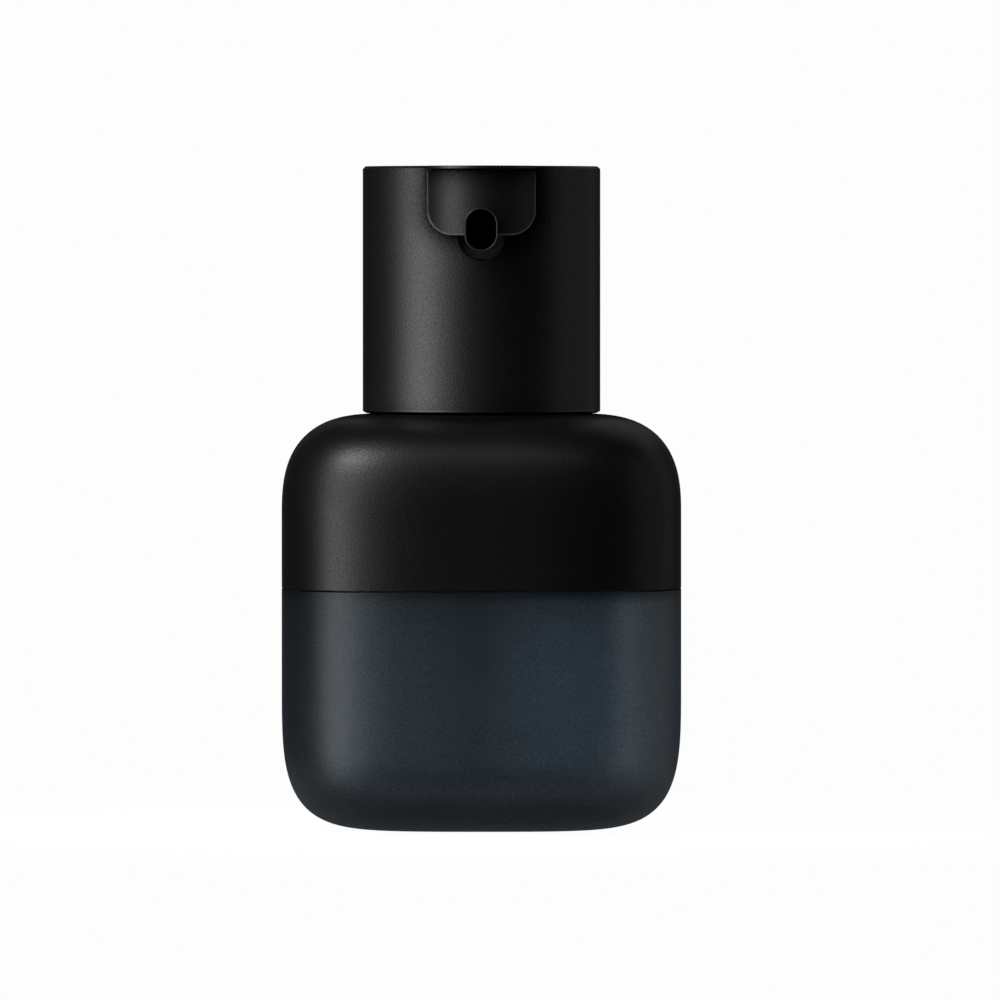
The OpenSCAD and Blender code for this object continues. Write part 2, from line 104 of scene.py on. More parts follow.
# Depths between which the painted shade around the nose sets in, so that the back of the sleeve has none
NOSE_SHADE_BACK, NOSE_SHADE_FRONT = -8 * MM, -10 * MM
# Distance of the lamps from the middle of the bottle, in metres
LAMP_DISTANCE = 0.6


# Sizes and colours that a user would change

def length(name, description, default):
    """Length in metres with a name, a description and a default."""
    return FloatProperty(name=name, description=description, default=default, precision=5, unit="LENGTH")


def number(name, description, default):
    """Plain number with a name, a description and a default."""
    return FloatProperty(name=name, description=description, default=default, min=0)


def watts(name, description, default):
    """Power of a lamp with a name, a description and a default."""
    return FloatProperty(
        name=name, description=description, default=default, min=0, precision=4, unit="POWER")


def colour(name, description, default):
    """Linear colour with a name, a description and a default."""
    return FloatVectorProperty(
        name=name, description=description, default=(*default, 1), size=4, min=0, max=1, subtype="COLOR")


class BodyShape(bpy.types.PropertyGroup):
    """Rounded-square body that the glass and its shoulder cover share"""

    half_width: length("Half width", "From the axis to the middle of a side", GLASS_HIGH.x)
    plan_power: number("Plan power", "Power of the rounded-square plan, where 2 is a circle", 3.4)
    foot_half: length("Foot half width", "From the axis to the edge of the flat foot", 7.3 * MM)
    heel_rise: length("Heel rise", "Height of the rounded heel", 16.85 * MM)
    heel_power: number("Heel power", "Power of the heel curve", 4)
    shoulder_rise: length("Shoulder rise", "Height of the rounded shoulder", 11 * MM)
    shoulder_power: number("Shoulder power", "Power of the shoulder curve", 2.73)
    land_half: length("Land half width", "From the axis to the edge of the flat land", 11 * MM)
    cover_wall: length("Cover wall", "Thickness of the shoulder cover", 1.6 * MM)
    cover_fit: length("Cover fit", "Room between cover and glass", 0.15 * MM)
    seam_gap: length("Seam gap", "Hairline between cover and glass", 0.15 * MM)
    hole_radius: length("Cover hole", "Radius of the hole for the neck", 10.1 * MM)
    # Painted contact shade: reach of the ring on the cover around the sleeve that loses its sheen
    contact_shade_reach: length("Foot halo", "Reach of the dull zone on the cover around the sleeve", 6.5 * MM)
    # Painted shade: the glass's colour darkens below the seam, under the cover
    seam_shade: length("Seam shade", "Reach of the darker tint of the glass below the seam", 1.7 * MM)
    columns: IntProperty(name="Columns", description="Points around the body", default=240, min=16)


class GlassShape(bpy.types.PropertyGroup):
    """Inside, neck and foot of the glass"""

    punt_radius: length("Punt radius", "Radius of the recess under the foot", 3.5 * MM)
    punt_depth: length("Punt depth", "Depth of the recess under the foot", 0.5 * MM)
    cavity_half: length("Cavity half width", "From the axis to the middle of the cavity's side", 17.4 * MM)
    cavity_floor: length("Cavity floor", "Height of the floor of the cavity", 4.6 * MM)
    cavity_roof: length("Cavity roof", "Height of the ceiling of the cavity", 38.4 * MM)
    cavity_corner: length("Cavity corner", "Rounding of floor and ceiling", 3.5 * MM)
    neck_radius: length("Neck radius", "Radius of the neck at the thread root", 8.75 * MM)
    neck_bore: length("Neck bore", "Radius of the bore of the neck", 7 * MM)
    thread_depth: length("Thread depth", "Height of the thread ridge", 1.1 * MM)
    thread_pitch: length("Thread pitch", "Rise of the thread in one turn", 3.18 * MM)
    thread_turns: number("Thread turns", "Turns of the neck thread", 1.25)
    thread_drop: length("Thread drop", "From the lip down to the end of the thread", 1.9 * MM)
    ridge_root: length("Ridge root", "Width of the thread ridge at the neck", 1.9 * MM)
    ridge_crest: length("Ridge crest", "Width of the thread ridge at its crest", 0.9 * MM)
    edge: length("Edge", "Rounding of the edges of the glass", 0.02 * MM)


class SleeveShape(bpy.types.PropertyGroup):
    """Fixed sleeve around the pump, with a slot for the nozzle"""

    wall: length("Wall", "Thickness of the sleeve", 1.2 * MM)
    skirt_width: length("Skirt bevel width", "Width of the bevel at the lower edge", 0.45 * MM)
    skirt_height: length("Skirt bevel height", "Height of the bevel at the lower edge", 0.22 * MM)
    # Painted highlight: height of a band that shines along the lower edge, in place of light caught by the bevel
    highlight_band: length("Burnish", "Height of the burnished line along the lower edge", 0.25 * MM)
    rim_bevel: length("Rim bevel", "Bevel around the upper rim", 0.3 * MM)
    shelf_radius: length("Shelf radius", "Inner radius of the shelf on the collar", 9.3 * MM)
    shelf_height: length("Shelf height", "Thickness of the shelf on the collar", 0.8 * MM)
    slot_half: length("Slot half width", "Half the width of the nozzle slot", 2.58 * MM)
    slot_low: length("Slot bottom", "Height of the round lower end of the slot", 62.55 * MM)
    edge: length("Edge", "Rounding of the edges of the sleeve", 0.09 * MM)
    columns: IntProperty(name="Columns", description="Points around the sleeve", default=240, min=16)


class HeadShape(bpy.types.PropertyGroup):
    """Finger pad, nose and mouth, which ride down together"""

    pad_bevel: length("Pad edge", "Rounding of the edge of the finger pad", 0.06 * MM)
    neck_half: length("Pad neck half width", "Half the pad's width where it crosses the sleeve", 2.2 * MM)
    tongue: length("Tongue", "Thickness of the pad's tongue over the nose", 0.35 * MM)
    pad_step: length("Pad step", "From the actuator's front back to the pad below the tongue", 1.4 * MM)
    front_radius: length("Front radius", "Radius of the curved front of the nose", 6.4 * MM)
    back_radius: length("Back radius", "Radius of the hollow back of the nose", 13.4 * MM)
    corner: length("Corner", "Rounding of the lower corners of the nose", 2.8 * MM)
    top_corner: length("Top corner", "Rounding of the upper corners of the nose", 0.05 * MM)
    nose_edge: length("Nose edge", "Rounding of the edges of the nose", 0.1 * MM)
    bead: length("Bead", "Radius of the fine bead along the edge of the nose", 0.12 * MM)
    # Painted shade: reach of the shadow-like darkening of the sleeve around the nose
    nose_shade_reach: length("Halo", "Reach of the dull zone on the sleeve around the nose", 3.2 * MM)
    # Painted shade: reach of the darkening of the nose below the tongue
    tongue_shade_reach: length("Top halo", "Reach of the dull zone on the nose below the tongue", 3 * MM)
    tip_wall: length("Tip wall", "Wall around the mouth", 0.2 * MM)
    tip_back: length("Tip back", "Back wall of the tip", 0.7 * MM)
    tip_fit: length("Tip fit", "Room between tip and nose", 0.02 * MM)
    tip_edge: length("Tip edge", "Rounding of the rim of the mouth", 0.09 * MM)
    rim_depth: length("Rim depth", "Depth of the polished rim of the mouth", 0.1 * MM)
    channel_radius: length("Channel radius", "Radius of the outlet channel", 0.75 * MM)
    channel_height: length("Channel height", "Height of the outlet channel", 67.25 * MM)


class SpringShape(bpy.types.PropertyGroup):
    """Return spring of the pump"""

    wire: length("Wire", "Diameter of the wire", 0.6 * MM)
    turns: number("Turns", "Turns of the spring, of which the first and the last lie closed", 7.5)


class Finishes(bpy.types.PropertyGroup):
    """Colours of the finishes"""

    shell: colour("Shell", "Matte black of cover, sleeve, pad and nose", (0.003, 0.003, 0.0032))
    # Painted highlight: the pale line along the bead of the nose stands in for light caught by its edge
    edge: colour("Edge", "Fine pale edge of the nose", (0.055, 0.055, 0.056))
    gloss: colour("Gloss", "Polished black of the mouth", (0.003, 0.003, 0.0033))
    resin: colour("Resin", "Moulded black of actuator and collar", (0.06, 0.06, 0.061))
    natural: colour("Natural resin", "Milky resin of the pump", (0.4, 0.4, 0.385))
    seal: colour("Seal", "Soft seals", (0.05, 0.05, 0.05))
    steel: colour("Steel", "Drawn wire and valve ball", (0.55, 0.56, 0.58))
    glass: colour("Glass", "Tint of the frosted surface of the glass", (0.413, 0.496, 0.57))
    glass_sheen: colour("Glass sheen", "Tint of the reflections on the glass", (0.86, 0.94, 1.0))
    glass_depth: colour("Glass depth", "Tint that deepens through the glass", (0.05, 0.15, 0.23))
    glass_density: number("Glass density", "How fast that tint deepens, for each metre", 45)
    glass_ior: number("Glass IOR", "Index of refraction of the glass", 1.52)
    grain: number("Grain", "Grains a metre of the matte black", 4600)
    etch: number("Etch", "Grains a metre of the etch on the glass", 6000)
    sleeve_sheen: number("Sleeve sheen", "Specular level of sleeve and pad", 0.864)
    shoulder_sheen: number("Shoulder sheen", "Specular level of the shoulder cover", 0.54)
    nose_sheen: number("Nose sheen", "Specular level of the nose", 0.6156)
    floor: colour("Floor", "Pale floor", (0.8, 0.8, 0.8))
    cloth: colour("Cloth", "Dark cloth of the tent", (0.02, 0.02, 0.02))


class Studio(bpy.types.PropertyGroup):
    """Camera, lamps and surroundings"""

    distance: length("Camera distance", "From the axis of the bottle to the camera", 1.43)
    height: length("Camera height", "Height of the camera above the floor", 63.65 * MM)
    aim_side: length("Aim to the side", "Middle of the picture, to the right of the axis", 2.04 * MM)
    aim_height: length("Aim height", "Middle of the picture above the floor", 36.15 * MM)
    width: length("Picture width", "Width of the picture at the bottle", 110.33 * MM)
    white: number("White", "Strength of the white background", 0.98)
    floor_radius: length("Floor radius", "Radius of the pale floor", 0.1)
    floor_core: length("Floor core", "Radius inside which the floor doesn't thin out", 0.03)
    floor_veil: number("Floor veil", "How much of the background the floor covers", 0.08)
    floor_white: number("Floor white", "Light that the floor lacks to be white", 0.9)
    tent_radius: length("Tent radius", "Radius of the dark tent that shapes the reflections", 0.9)
    key_power: watts("Key power", "Tall strip at the left", 1.3)
    top_power: watts("Top power", "Lamp at the top of that strip", 1.35)
    front_power: watts("Front power", "Lamp above the camera", 0.2)
    low_power: watts("Low power", "Lamp at the foot of that strip", 0.5)
    wide_power: watts("Wide power", "Wide lamp between strip and camera", 0.63)
    side_power: watts("Side power", "Strip at the right", 0.115)
    rim_power: watts("Rim power", "Lamp behind the right edge", 0.043)
    back_power: watts("Back power", "Lamp behind the bottle", 0.03)
    back_high_power: watts("High back power", "Lamp high behind the bottle", 0.1)
    fill_power: watts("Fill power", "Lamp that fills matte shadows at the right", 1.4)
    glow_power: watts("Glow power", "Glow through the glass from the right", 0.4)
    glow_corner_power: watts("Corner glow power", "Glow through the glass from the far corner", 0.1481)
    glow_back_power: watts("Back glow power", "Glow through the glass from behind", 0.0333)


class BottleSettings(bpy.types.PropertyGroup):
    """All settings of the bottle"""

    body: PointerProperty(type=BodyShape)
    glass: PointerProperty(type=GlassShape)
    sleeve: PointerProperty(type=SleeveShape)
    head: PointerProperty(type=HeadShape)
    spring: PointerProperty(type=SpringShape)
    finishes: PointerProperty(type=Finishes)
    studio: PointerProperty(type=Studio)


# Curves and surfaces

def superellipse(angle, power):
    """Point (u, v) in the direction of angle on the curve |u|^power + |v|^power = 1."""
    u, v = np.cos(angle), np.sin(angle)
    size = (np.abs(u) ** power + np.abs(v) ** power) ** (-1 / power)
    return u * size, v * size


def straight(start, end, steps):
    """Points from start to end at shares of half a cosine wave, so they are closest at both ends."""
    start, end = np.array(start), np.array(end)
    share = (1 - np.cos(np.linspace(0, np.pi, steps + 1))) / 2
    return start + share[:, None] * (end - start)


def arc(centre, radius, start, end, steps):
    """Points of a circle around centre from one angle in degrees to another."""
    angle = np.radians(np.linspace(start, end, steps + 1))
    return np.column_stack([centre[0] + radius * np.cos(angle), centre[1] + radius * np.sin(angle)])


def joined(*runs):
    """Runs of points end to end, without the points that repeat the end of the run before."""
    points = np.concatenate(runs)
    step = np.linalg.norm(np.diff(points, axis=0), axis=1)
    return points[np.concatenate([[True], step > SAME_POINT])]


def travelled(path):
    """Share of the length of a path that lies behind each of its points."""
    run = np.concatenate([[0], np.cumsum(np.linalg.norm(np.diff(path, axis=0), axis=1))])
    return run / run[-1]


def along(path, share):
    """Points at the given shares of the length of a path."""
    behind = travelled(path)
    return np.column_stack([np.interp(share, behind, column) for column in path.T])


def with_power(points, power):
    """Rows (half-width, height, power) from rows (half-width, height)."""
    return np.column_stack([points, np.full(len(points), float(power))])


def around(profile, columns):
    """Surface of rows (half-width, height, power) carried around the axis.

    In the direction of each column a row lies at its half-width times the superellipse of its
    power, so that power 2 gives a circle and a higher power a rounded square.
    """
    angle = np.linspace(0, 2 * np.pi, columns, endpoint=False)
    u, v = superellipse(angle[None, :], profile[:, 2:3])
    half, height = profile[:, :1], profile[:, 1:2]
    return np.stack([half * u, half * v, np.broadcast_to(height, u.shape)], axis=-1)


def grid_faces(index, close_rows=False, close_columns=False):
    """Quads between neighbours in a grid of point numbers, joined end to end where it is closed."""
    if close_rows:
        index = np.vstack([index, index[:1]])
    if close_columns:
        index = np.hstack([index, index[:, :1]])
    corners = index[:-1, :-1], index[:-1, 1:], index[1:, 1:], index[1:, :-1]
    return np.stack(corners, axis=-1).reshape(-1, 4).tolist()


def numbered(grid, first=0):
    """Point numbers of a grid of points, counted from first."""
    return first + np.arange(grid.shape[0] * grid.shape[1]).reshape(grid.shape[:2])


def grid_shell(grid, close_rows=False, close_columns=False):
    """Points and quads of one grid."""
    return grid.reshape(-1, 3), grid_faces(numbered(grid), close_rows, close_columns)


def slab(outline, low, high):
    """Closed slab of an outline in plan, between two heights."""
    walls = np.stack([np.column_stack([outline, np.full(len(outline), z)]) for z in (low, high)])
    index = numbered(walls)
    points, faces = grid_shell(walls, close_columns=True)
    return points, faces + [index[0].tolist(), index[1].tolist()]


def coil(section, turns, rise, steps):
    """Closed coil of a section of (radius, height) points around the axis, lifted by rise(turn)."""
    turn = np.linspace(0, turns, math.ceil(turns * steps) + 1)[:, None]
    angle = 2 * np.pi * turn
    radius, height = section[:, 0], section[:, 1]
    grid = np.stack([radius * np.cos(angle), radius * np.sin(angle), height + rise(turn)], axis=-1)
    index = numbered(grid)
    points, faces = grid_shell(grid, close_columns=True)
    return points, faces + [index[0].tolist(), index[-1].tolist()]


def new_piece(name, shells, body, node, material, edge=None):
    """Object of closed shells that rides on a body in place of a CAD node, with rounded edges."""
    starts = np.cumsum([0] + [len(points) for points, _ in shells])
    points = np.concatenate([points for points, _ in shells])
    faces = [[start + i for i in face] for start, (_, quads) in zip(starts, shells) for face in quads]
    mesh = bpy.data.meshes.new(name)
    mesh.from_pydata(points.tolist(), [], faces)
    built = bmesh.new()
    built.from_mesh(mesh)
    bmesh.ops.remove_doubles(built, verts=built.verts, dist=MERGE_GAP)
    bmesh.ops.recalc_face_normals(built, faces=built.faces)
    built.to_mesh(mesh)
    built.free()
    mesh.shade_smooth()
    mesh.materials.append(material)
    piece = bpy.data.objects.new(name, mesh)
    bpy.context.collection.objects.link(piece)
    if edge:
        bevel = piece.modifiers.new("rounded edges", "BEVEL")
        bevel.width = edge
        bevel.segments = EDGE_SEGMENTS
        bevel.limit_method = "ANGLE"
        bevel.angle_limit = SHARP_EDGE
        bevel.harden_normals = True
    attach(piece, body)
    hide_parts(node)
    return piece


def shoulder_curve(edge, land, top, rise, power):
    """Quarter superellipse from the side of the body, at half-width edge, up to the flat land."""
    u, v = superellipse(np.radians(np.linspace(0, 90, 33)), power)
    return np.column_stack([land + (edge - land) * u, top - rise * (1 - v)])


def heel_curve(foot, edge, rise, power):
    """Quarter superellipse from the edge of the flat foot up to the side of the body."""
    u, v = superellipse(np.radians(np.linspace(90, 0, 49)), power)
    return np.column_stack([foot + (edge - foot) * u, rise * (1 - v)])


def glass_profile(body, glass):
    """Rows of the glass from the middle of the foot, up the outside, down the bore to the cavity."""
    seam = COVER_LOW.z - body.seam_gap
    inner = body.half_width - body.cover_wall - body.cover_fit
    top = COVER_HIGH.z - body.cover_wall
    inner_rise = body.shoulder_rise - body.cover_wall
    lip = GLASS_HIGH.z
    corner = glass.cavity_corner
    wide = glass.cavity_half
    narrow = wide - corner
    floor, roof = glass.cavity_floor, glass.cavity_roof
    punt = joined(
        straight((0, glass.punt_depth), (glass.punt_radius, glass.punt_depth), 4),
        straight((glass.punt_radius, glass.punt_depth), (glass.punt_radius, 0), 2))
    outside = joined(
        heel_curve(body.foot_half, body.half_width, body.heel_rise, body.heel_power),
        straight((body.half_width, body.heel_rise), (body.half_width, seam), 10),
        straight((body.half_width, seam), (inner, seam), 4),
        straight((inner, seam), (inner, top - inner_rise), 6),
        shoulder_curve(inner, body.land_half - body.cover_fit, top, inner_rise, body.shoulder_power))
    neck = joined(
        straight((glass.neck_radius, top), (glass.neck_radius, lip), 8),
        straight((glass.neck_radius, lip), (glass.neck_bore, lip), 3),
        straight((glass.neck_bore, lip), (glass.neck_bore, roof), 8))
    cavity = joined(
        arc((narrow, roof - corner), corner, 90, 0, 12),
        straight((wide, roof - corner), (wide, floor + corner), 10),
        arc((narrow, floor + corner), corner, 0, -90, 12),
        straight((narrow, floor), (0, floor), 4))
    return np.concatenate([with_power(punt, 2), with_power(outside, body.plan_power),
                           with_power(neck, 2), with_power(cavity, body.plan_power)])


def cover_profile(body):
    """Closed loop of rows of the shoulder cover: up its outside, through the hole, down its inside."""
    top, seam = COVER_HIGH.z, COVER_LOW.z
    inner = body.half_width - body.cover_wall
    inner_top = top - body.cover_wall
    inner_rise = body.shoulder_rise - body.cover_wall
    outside = joined(
        straight((body.half_width, seam), (body.half_width, top - body.shoulder_rise), 10),
        shoulder_curve(body.half_width, body.land_half, top, body.shoulder_rise, body.shoulder_power))
    hole = straight((body.hole_radius, top), (body.hole_radius, inner_top), 3)
    inside = joined(
        shoulder_curve(inner, body.land_half, inner_top, inner_rise, body.shoulder_power)[::-1],
        straight((inner, inner_top - inner_rise), (inner, seam), 10))
    return np.concatenate(
        [with_power(outside, body.plan_power), with_power(hole, 2), with_power(inside, body.plan_power)])


def neck_thread(glass):
    """Trapezium ridge carried around the neck on a helix of one pitch a turn."""
    root = glass.neck_radius - glass.thread_depth / 4
    crest = glass.neck_radius + glass.thread_depth
    half_root, half_crest = glass.ridge_root / 2, glass.ridge_crest / 2
    section = np.array([(root, -half_root), (crest, -half_crest), (crest, half_crest), (root, half_root)])
    start = GLASS_HIGH.z - glass.thread_drop - glass.thread_turns * glass.thread_pitch
    return coil(section, glass.thread_turns, lambda turn: start + turn * glass.thread_pitch, 48)


def sleeve_shell(sleeve):
    """Sleeve wall from one edge of the slot around to the other, with the two flanks of the slot.

    A closed profile of (radius, height) rows runs up the outside and down the inside. At each
    row the columns share the angle that the slot leaves, which starts at the arcsine of the
    slot's half-width over the radius. The slot's lower end is a half circle.
    """
    outer, low, high = SLEEVE_HIGH.x, SLEEVE_LOW.z, SLEEVE_HIGH.z
    inner = outer - sleeve.wall
    half, bottom = sleeve.slot_half, sleeve.slot_low
    rim = high - sleeve.rim_bevel
    shelf_low = COLLAR_HIGH.z
    shelf_high = shelf_low + sleeve.shelf_height
    round_end = bottom + half - half * np.cos(np.radians(np.linspace(0, 90, 13)))
    upright = straight((0, round_end[-1]), (0, rim), 14)[1:, 1]
    slot = np.concatenate([round_end, upright])
    foot = joined(
        straight((inner, low), (outer - sleeve.skirt_width, low), 3),
        straight((outer - sleeve.skirt_width, low), (outer, low + sleeve.skirt_height), 2),
        straight((outer, low + sleeve.skirt_height), (outer, bottom), 20))[:-1]
    outside = np.column_stack([np.full(len(slot), outer), slot])
    edge = np.array([(outer - sleeve.rim_bevel, high), (inner, high)])
    inside = np.column_stack([np.full(len(slot), inner), slot[::-1]])
    shelf = joined(
        straight((inner, bottom), (inner, shelf_high), 4),
        straight((inner, shelf_high), (sleeve.shelf_radius, shelf_high), 3),
        straight((sleeve.shelf_radius, shelf_high), (sleeve.shelf_radius, shelf_low), 2),
        straight((sleeve.shelf_radius, shelf_low), (inner, shelf_low), 3),
        straight((inner, shelf_low), (inner, low), 10))[1:-1]
    profile = np.concatenate([foot, outside, edge, inside, shelf])
    radius, height = profile[:, :1], profile[:, 1:]
    drop = np.clip(bottom + half - height, 0, half)
    gap = np.where(height > bottom, np.sqrt(half ** 2 - drop ** 2), 0)
    start = np.arcsin(gap / radius)
    angle = start + np.linspace(0, 1, sleeve.columns + 1) * (2 * np.pi - 2 * start)
    side, depth = radius * np.sin(angle), -radius * np.cos(angle)
    grid = np.stack([side, depth, np.broadcast_to(height, angle.shape)], axis=-1)
    index = numbered(grid)
    points, faces = grid_shell(grid, close_rows=True)
    first, count = len(foot), len(slot)
    up = index[first:first + count + 1]
    down = index[first + count + 1:first + 2 * count + 2][::-1]
    for column in (0, -1):
        faces += grid_faces(np.column_stack([up[:, column], down[:, column]]))
    return points, faces


def nose_front(head, side):
    """Depth of the front of the nose, on an upright cylinder, at a distance to the side."""
    return NOSE_LOW.y + head.front_radius - np.sqrt(head.front_radius ** 2 - side ** 2)


def nose_back(head, side):
    """Depth of the hollow back of the nose, on a cylinder around the axis."""
    return -np.sqrt(head.back_radius ** 2 - side ** 2)


def oval(half, straight_half, middle, steps):
    """Closed upright oval in the front view: two half circles and the straight sides between them."""
    return np.concatenate([
        arc((0, middle + straight_half), half, 0, 180, steps),
        arc((0, middle - straight_half), half, 180, 360, steps)])


def nose_shell(head):
    """Nose between its front outline and the arch over the mouth.

    A point lies a share of the way from the outline to the arch, both walked at the same share
    of their lengths. Its depth is that of the front cylinder or of the hollow back, and walls
    join the two along the border.
    """
    half, low, high = NOSE_HIGH.x, NOSE_LOW.z, NOSE_HIGH.z
    corner, top = head.corner, head.top_corner
    left = joined(
        arc((corner - half, low + corner), corner, 270, 180, 12),
        straight((-half, low + corner), (-half, high - top), 12),
        arc((top - half, high - top), top, 180, 90, 4),
        straight((top - half, high), (0, high), 16))
    outline = np.concatenate([left, left[-2::-1] * (-1, 1)])
    mouth = TIP_HIGH.x + head.tip_fit
    middle = (TIP_LOW.z + TIP_HIGH.z) / 2
    upper = middle + (TIP_HIGH.z - TIP_LOW.z) / 2 - TIP_HIGH.x
    lower = 2 * middle - upper
    start = math.degrees(math.acos((lower - low) / mouth))
    side = joined(
        arc((0, lower), mouth, 270 - start, 180, 3),
        straight((-mouth, lower), (-mouth, upper), 4),
        arc((0, upper), mouth, 180, 90, 16))
    arch = np.concatenate([side, side[-2::-1] * (-1, 1)])
    arch = along(arch, travelled(outline))
    share = (1 - np.cos(np.linspace(0, np.pi, 11)))[:, None, None] / 2
    flat = outline + share * (arch - outline)
    faces_out = [np.stack([flat[..., 0], depth(head, flat[..., 0]), flat[..., 1]], -1)
                 for depth in (nose_front, nose_back)]
    front = numbered(faces_out[0])
    back = numbered(faces_out[1], front.size)
    border = [np.concatenate([i[0, :-1], i[:-1, -1], i[-1, :0:-1], i[:0:-1, 0]]) for i in (front, back)]
    points = np.concatenate([grid.reshape(-1, 3) for grid in faces_out])
    faces = grid_faces(front) + grid_faces(back) + grid_faces(np.stack(border), close_columns=True)
    return points, faces


def bead_shells(head):
    """Fine round bead along each side of the nose, from the mouth around the corner to the top.

    Around each point of a path that runs one radius inside the outline, a circle lies across the
    path: it spreads along the outline's own normal and along the depth.
    """
    radius, half = head.bead, NOSE_HIGH.x - head.bead
    low, high, corner = NOSE_LOW.z + head.bead, NOSE_HIGH.z, head.corner - head.bead
    path = joined(
        straight((TIP_HIGH.x, low), (half - corner, low), 6),
        arc((half - corner, low + corner), corner, -90, 0, 16),
        straight((half, low + corner), (half, high), 12))
    way = np.gradient(path, axis=0)
    way /= np.linalg.norm(way, axis=1)[:, None]
    angle = np.linspace(0, 2 * np.pi, 10, endpoint=False)
    across, out = radius * np.cos(angle), radius * np.sin(angle)
    side = path[:, :1] + way[:, 1:] * across
    height = path[:, 1:] - way[:, :1] * across
    depth = nose_front(head, path[:, :1]) - out
    index = numbered(side)
    faces = grid_faces(index, close_columns=True) + [index[0].tolist(), index[-1].tolist()]
    return [(np.stack([mirror * side, depth, height], -1).reshape(-1, 3), faces) for mirror in (-1, 1)]


def tip_shell(head):
    """Oval tube of the mouth: a closed profile of (oval, depth) rows around the outlet channel."""
    middle = (TIP_LOW.z + TIP_HIGH.z) / 2
    half = TIP_HIGH.x
    straight_half = (TIP_HIGH.z - TIP_LOW.z) / 2 - half
    outer = oval(half, straight_half, middle, 24)
    inner = oval(half - head.tip_wall, straight_half, middle, 24)
    channel = oval(head.channel_radius, 0, head.channel_height, 24)
    front, back = TIP_LOW.y, TIP_HIGH.y
    floor = back - head.tip_back
    outer_depths = straight((0, back), (0, front), 6)[:, 1]
    inner_depths = straight((0, front), (0, floor), 6)[:, 1]
    rows = [(outer, depth) for depth in outer_depths]
    rows += [(inner, depth) for depth in inner_depths]
    rows += [(channel, floor), (channel, back)]
    loops = [np.column_stack([loop[:, 0], np.full(len(loop), depth), loop[:, 1]]) for loop, depth in rows]
    return grid_shell(np.stack(loops), close_rows=True, close_columns=True)


def pad_outline(head, with_tongue):
    """Plan of the finger pad: a disc, its neck through the slot and the tongue over the nose."""
    disc, reach, half = PAD_HIGH.x, head.back_radius, NOSE_HIGH.x
    neck = head.neck_half
    disc_edge = math.degrees(math.acos(neck / disc))
    right = arc((0, 0), disc, 90, -disc_edge, 64)
    neck_end = (neck, nose_back(head, neck))
    if with_tongue:
        bend = math.degrees(math.acos(neck / reach))
        wing = math.degrees(math.acos(half / reach))
        nose_middle = NOSE_LOW.y + head.front_radius
        tip = math.degrees(math.acos(half / head.front_radius))
        front = arc((0, nose_middle), head.front_radius, -tip, -90, 32)
        right = joined(right, [neck_end], arc((0, 0), reach, -bend, -wing, 10), front)
    else:
        end = KEY_LOW.y + head.pad_step
        right = joined(right, [(neck, end)], [(0, end)])
    left = right[-2:0:-1] * (-1, 1)
    return np.concatenate([right, left])


def spring_shell(spring):
    """Round wire on a helix whose first and last turns rise by one wire, and the others evenly."""
    wire, turns = spring.wire, spring.turns
    angle = np.linspace(0, 2 * np.pi, 14, endpoint=False)
    radius = SPRING_HIGH.x - wire / 2
    section = np.column_stack([radius + wire / 2 * np.cos(angle), wire / 2 * np.sin(angle)])
    low, high = SPRING_LOW.z + wire / 2, SPRING_HIGH.z - wire / 2
    heights = [low, low + wire, high - wire, high]
    return coil(section, turns, lambda turn: np.interp(turn, [0, 1, turns - 1, turns], heights), 48)


# Shader expressions and finishes

class Wire:
    """A socket of a shader. Arithmetic on it adds Math nodes, and node() adds any other node."""

    def __init__(self, tree, socket=None):
        self.tree = tree
        self.socket = socket

    def node(self, kind, settings=None, inputs=None, output=0):
        """Add a node: first its settings, then the values or links of its sockets."""
        made = self.tree.nodes.new(kind)
        for name, value in (settings or {}).items():
            setattr(made, name, value)
        for name, value in (inputs or {}).items():
            if isinstance(value, Wire):
                self.tree.links.new(value.socket, made.inputs[name])
            else:
                made.inputs[name].default_value = value
        return Wire(self.tree, made.outputs[output]) if made.outputs else None

    def math(self, operation, left, right=0.0):
        """Math node on one or two numbers or sockets."""
        return self.node("ShaderNodeMath", {"operation": operation}, {0: left, 1: right})

    def __add__(self, other):
        return self.math("ADD", self, other)

    def __radd__(self, other):
        return self.math("ADD", other, self)

    def __sub__(self, other):
        return self.math("SUBTRACT", self, other)

    def __rsub__(self, other):
        return self.math("SUBTRACT", other, self)

    def __mul__(self, other):
        return self.math("MULTIPLY", self, other)

    def __rmul__(self, other):
        return self.math("MULTIPLY", other, self)


def new_material(name):
    """Empty node material and a Wire to start its nodes from."""
    material = bpy.data.materials.new(name)
    material.use_nodes = True
    material.node_tree.nodes.clear()
    return material, Wire(material.node_tree)


def noise(tree, scale, detail, stretch=(1, 1, 1)):
    """Noise of a number of grains a metre on Object coordinates, stretched along the axes."""
    place = tree.node("ShaderNodeTexCoord", output="Object")
    turned = tree.node("ShaderNodeMapping", inputs={"Vector": place, "Scale": stretch})
    return tree.node("ShaderNodeTexNoise", inputs={"Vector": turned, "Scale": scale, "Detail": detail})


def coordinate(tree, axis):
    """Object coordinate along an axis."""
    place = tree.node("ShaderNodeTexCoord", output="Object")
    return tree.node("ShaderNodeSeparateXYZ", inputs={0: place}, output=axis)


def blend(tree, share, first, second):
    """Mix of two colours by a share."""
    return tree.node("ShaderNodeMix", {"data_type": "RGBA"}, {0: share, 6: first, 7: second}, output=2)


def step_up(tree, value, low, high):
    """0 below low, 1 above high and smooth between them; the other way round if low is above high."""
    return tree.node("ShaderNodeMapRange", {"interpolation_type": "SMOOTHSTEP"},
                     {"Value": value, "From Min": low, "From Max": high})


def fading(tree, distance, reach):
    """1 at no distance and 0 from the reach on, the square of an even fall between them."""
    near = tree.node("ShaderNodeMapRange", inputs={"Value": distance, "From Min": reach, "From Max": 0.0})
    return near * near


